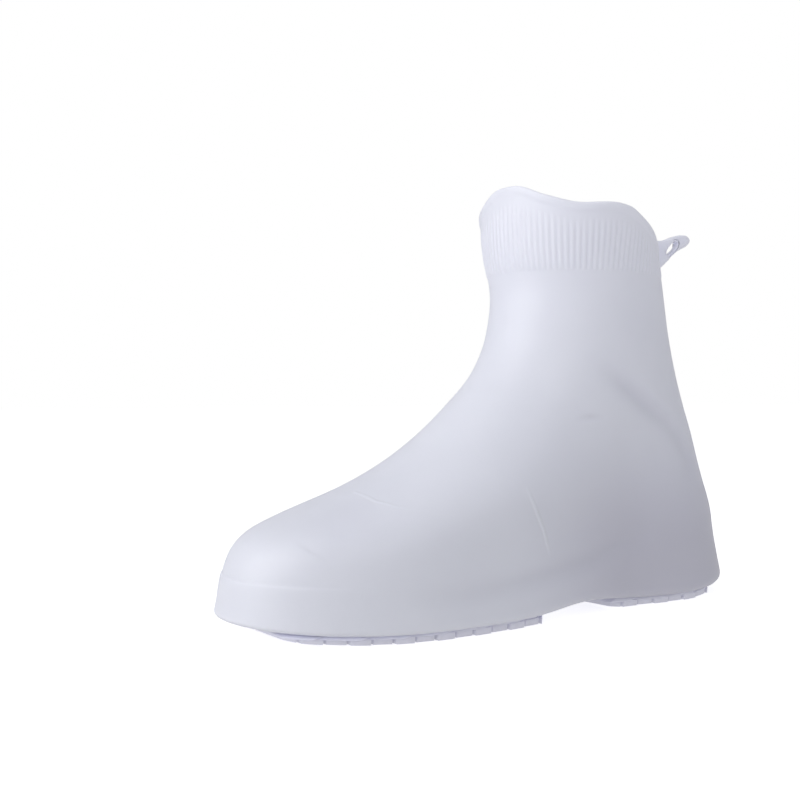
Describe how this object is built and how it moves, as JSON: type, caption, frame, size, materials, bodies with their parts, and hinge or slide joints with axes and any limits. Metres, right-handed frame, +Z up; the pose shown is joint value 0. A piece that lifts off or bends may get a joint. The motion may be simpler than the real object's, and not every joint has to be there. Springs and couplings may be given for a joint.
{
  "type": "waterproof overshoe",
  "caption": "Slip-on waterproof overshoe in soft milky silicone: hollow boot shape with a ribbed collar, a raised front rim, treaded pads under the sole and a pull loop at the back.",
  "frame": {"origin": "on the floor, under the middle of the whole box", "axes": "+Z up, -Y towards the toe, +X towards the outer side of the foot"},
  "size_m": [0.1138, 0.313, 0.2306],
  "materials": {
    "silicone": "milky, slightly translucent moulded silicone with a soft sheen",
    "tread": "milky moulded silicone, a little duller on the treads"
  },
  "bodies": {
    "root": {"shell": "silicone", "forefoot_tread": "tread", "heel_tread": "tread", "pull_loop": "silicone"}
  },
  "joints": []
}
